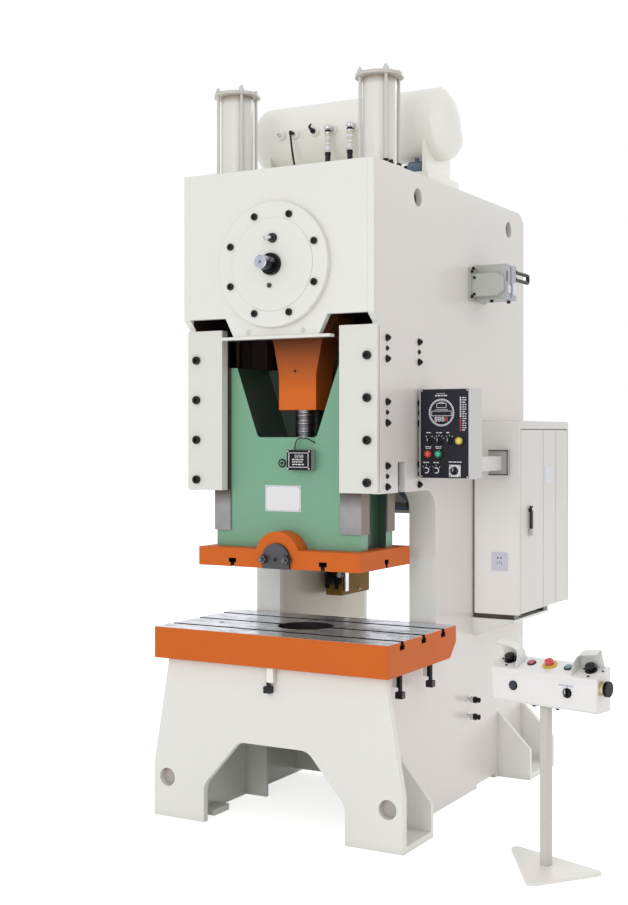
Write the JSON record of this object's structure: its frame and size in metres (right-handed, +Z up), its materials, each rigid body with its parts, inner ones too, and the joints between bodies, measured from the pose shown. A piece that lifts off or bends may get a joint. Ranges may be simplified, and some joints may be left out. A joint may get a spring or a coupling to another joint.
{
  "type": "mechanical stamping press",
  "caption": "Gap-frame mechanical press with a crank-driven slide over a slotted bolster, air counterbalance, electrical cabinet, control panel and two-hand console.",
  "frame": {"origin": "on the floor, at the centre of the foundation holes in the feet", "axes": "+Z up, -Y towards the operator (the front), +X to the press's right seen from the front"},
  "size_m": [2.0953, 1.885, 3.2899],
  "materials": {
    "frame_white": "light cream-white enamel",
    "slide_green": "mid green enamel",
    "plate_orange": "orange enamel",
    "bare_steel": "ground steel",
    "dark_steel": "oiled dark steel",
    "black_screws": "black oxide",
    "tank_cream": "cream-white enamel",
    "valve_grey": "cast aluminium",
    "cabinet_grey": "light grey powder coat",
    "panel_dark": "dark anthracite panel",
    "hose_black": "black rubber",
    "ochre": "ochre enamel",
    "knob_black": "black plastic",
    "button_red": "red plastic",
    "button_green": "green plastic",
    "button_yellow": "yellow plastic",
    "chrome": "polished",
    "brass": "plain",
    "console_white": "white powder coat",
    "motor_blue": "grey-blue enamel"
  },
  "bodies": {
    "frame": {"side_plate_left": "frame_white", "side_plate_right": "frame_white", "head_front_plate": "frame_white", "cross_plates": "frame_white", "throat_flanges": "frame_white", "front_leg_plate": "frame_white", "corner_feet": "frame_white", "bolster": "plate_orange", "bolster_clamps": "black_screws", "gib_box_left": "frame_white", "gib_box_right": "frame_white", "cap_screws": "black_screws", "crank_cover": "frame_white", "air_tank": "tank_cream", "air_fittings": "brass", "hoses": "hose_black", "counterbalance_cylinders": "tank_cream", "clutch_valve": "valve_grey", "electrical_cabinet": "cabinet_grey", "cabinet_bracket": "frame_white", "air_unit": "ochre", "control_arm": "cabinet_grey", "control_panel": "panel_dark", "console_stand": "console_white", "console_box": "console_white", "palm_shields": "console_white", "console_plug": "brass", "drive_motor": "motor_blue", "flywheel_guard": "frame_white", "v_belts": "hose_black"},
    "slide": {"slide": "slide_green", "slide_plate": "plate_orange", "shank_clamp": "dark_steel", "slide_strips": "bare_steel", "height_indicator": "knob_black", "connecting_rod": "plate_orange", "adjusting_screw": "bare_steel", "counterbalance_rods": "chrome"},
    "crankshaft": {"crankshaft": "bare_steel"},
    "flywheel": {"flywheel": "dark_steel"},
    "motor_pulley": {"motor_pulley": "dark_steel"},
    "cabinet_door_front": {"cabinet_door_front": "cabinet_grey"},
    "cabinet_door_rear": {"cabinet_door_rear": "cabinet_grey"},
    "door_handle": {"door_handle": "knob_black"},
    "panel_selector_left": {"panel_selector_left": "knob_black"},
    "panel_selector_middle": {"panel_selector_middle": "knob_black"},
    "panel_selector_right": {"panel_selector_right": "knob_black"},
    "panel_button_yellow": {"panel_button_yellow": "button_yellow"},
    "panel_button_red": {"panel_button_red": "button_red"},
    "panel_button_green": {"panel_button_green": "button_green"},
    "panel_key_left": {"panel_key_left": "chrome"},
    "panel_key_right": {"panel_key_right": "chrome"},
    "panel_key_switch": {"panel_key_switch": "knob_black"},
    "console_palm_left": {"console_palm_left": "knob_black"},
    "console_button_red": {"console_button_red": "button_red"},
    "console_stop": {"console_stop": "button_red"},
    "console_button_green": {"console_button_green": "button_green"},
    "console_palm_right": {"console_palm_right": "knob_black"},
    "console_front_button": {"console_front_button": "knob_black"},
    "console_front_selector": {"console_front_selector": "knob_black"}
  },
  "joints": [
    {"name": "slide_stroke", "type": "slide", "parent": "frame", "child": "slide", "axis": [0, 0, 1], "range_m": [0, 0.18]},
    {"name": "crank_turn", "type": "hinge", "parent": "frame", "child": "crankshaft", "pos_m": [0, -0.5675, 2.422], "axis": [0, 1, 0], "range_deg": [0, 180]},
    {"name": "flywheel_spin", "type": "hinge", "parent": "frame", "child": "flywheel", "pos_m": [0, 0.7645, 2.422], "axis": [0, 1, 0], "continuous": true},
    {"name": "motor_pulley_spin", "type": "hinge", "parent": "frame", "child": "motor_pulley", "pos_m": [0.13, 0.7645, 1.47], "axis": [0, 1, 0], "continuous": true},
    {"name": "cabinet_door_front_swing", "type": "hinge", "parent": "frame", "child": "cabinet_door_front", "pos_m": [0.705, 0.5375, 1.3], "axis": [0, 0, 1], "range_deg": [0, 90]},
    {"name": "cabinet_door_rear_swing", "type": "hinge", "parent": "frame", "child": "cabinet_door_rear", "pos_m": [0.705, 0.9005, 1.3], "axis": [0, 0, 1], "range_deg": [0, 90]},
    {"name": "door_handle_turn", "type": "hinge", "parent": "cabinet_door_front", "child": "door_handle", "pos_m": [0.71, 0.3445, 1.338], "axis": [1, 0, 0], "range_deg": [0, 90]},
    {"name": "panel_selector_left_turn", "type": "hinge", "parent": "frame", "child": "panel_selector_left", "pos_m": [0.536, -0.4275, 1.67], "axis": [0, -1, 0], "range_deg": [-45, 45]},
    {"name": "panel_selector_middle_turn", "type": "hinge", "parent": "frame", "child": "panel_selector_middle", "pos_m": [0.583, -0.4275, 1.67], "axis": [0, -1, 0], "range_deg": [-45, 45]},
    {"name": "panel_selector_right_turn", "type": "hinge", "parent": "frame", "child": "panel_selector_right", "pos_m": [0.631, -0.4275, 1.67], "axis": [0, -1, 0], "range_deg": [-45, 45]},
    {"name": "panel_button_yellow_press", "type": "slide", "parent": "frame", "child": "panel_button_yellow", "axis": [0, 1, 0], "range_m": [0, 0.005], "stiffness_N_per_m": 800, "springref_m": -0.002},
    {"name": "panel_button_red_press", "type": "slide", "parent": "frame", "child": "panel_button_red", "axis": [0, 1, 0], "range_m": [0, 0.005], "stiffness_N_per_m": 800, "springref_m": -0.002},
    {"name": "panel_button_green_press", "type": "slide", "parent": "frame", "child": "panel_button_green", "axis": [0, 1, 0], "range_m": [0, 0.005], "stiffness_N_per_m": 800, "springref_m": -0.002},
    {"name": "panel_key_left_turn", "type": "hinge", "parent": "frame", "child": "panel_key_left", "pos_m": [0.523, -0.4275, 1.543], "axis": [0, 1, 0], "range_deg": [0, 90]},
    {"name": "panel_key_right_turn", "type": "hinge", "parent": "frame", "child": "panel_key_right", "pos_m": [0.57, -0.4275, 1.543], "axis": [0, 1, 0], "range_deg": [0, 90]},
    {"name": "panel_key_switch_turn", "type": "hinge", "parent": "frame", "child": "panel_key_switch", "pos_m": [0.658, -0.4275, 1.542], "axis": [0, 1, 0], "range_deg": [0, 90]},
    {"name": "console_palm_left_press", "type": "slide", "parent": "frame", "child": "console_palm_left", "axis": [0.0772, 0.3633, -0.9285], "range_m": [0, 0.005], "stiffness_N_per_m": 800, "springref_m": -0.003},
    {"name": "console_button_red_press", "type": "slide", "parent": "frame", "child": "console_button_red", "axis": [0.0772, 0.3633, -0.9285], "range_m": [0, 0.005], "stiffness_N_per_m": 800, "springref_m": -0.003},
    {"name": "console_button_green_press", "type": "slide", "parent": "frame", "child": "console_button_green", "axis": [0.0772, 0.3633, -0.9285], "range_m": [0, 0.005], "stiffness_N_per_m": 800, "springref_m": -0.003},
    {"name": "console_palm_right_press", "type": "slide", "parent": "frame", "child": "console_palm_right", "axis": [0.0772, 0.3633, -0.9285], "range_m": [0, 0.005], "stiffness_N_per_m": 800, "springref_m": -0.003},
    {"name": "console_stop_press", "type": "slide", "parent": "frame", "child": "console_stop", "axis": [0.0772, 0.3633, -0.9285], "range_m": [0, 0.005]},
    {"name": "console_front_button_press", "type": "slide", "parent": "frame", "child": "console_front_button", "axis": [0.2079, 0.9781, 0], "range_m": [0, 0.005], "stiffness_N_per_m": 800, "springref_m": -0.002},
    {"name": "console_front_selector_turn", "type": "hinge", "parent": "frame", "child": "console_front_selector", "pos_m": [1.2811, -0.79121, 0.708], "axis": [-0.2079, -0.9781, 0], "range_deg": [-45, 45]}
  ],
  "couplings": [
    {"joint": "crank_turn", "follows": "slide_stroke", "rad_per_m": 17.451},
    {"joint": "motor_pulley_spin", "follows": "flywheel_spin", "ratio": 4.96}
  ]
}
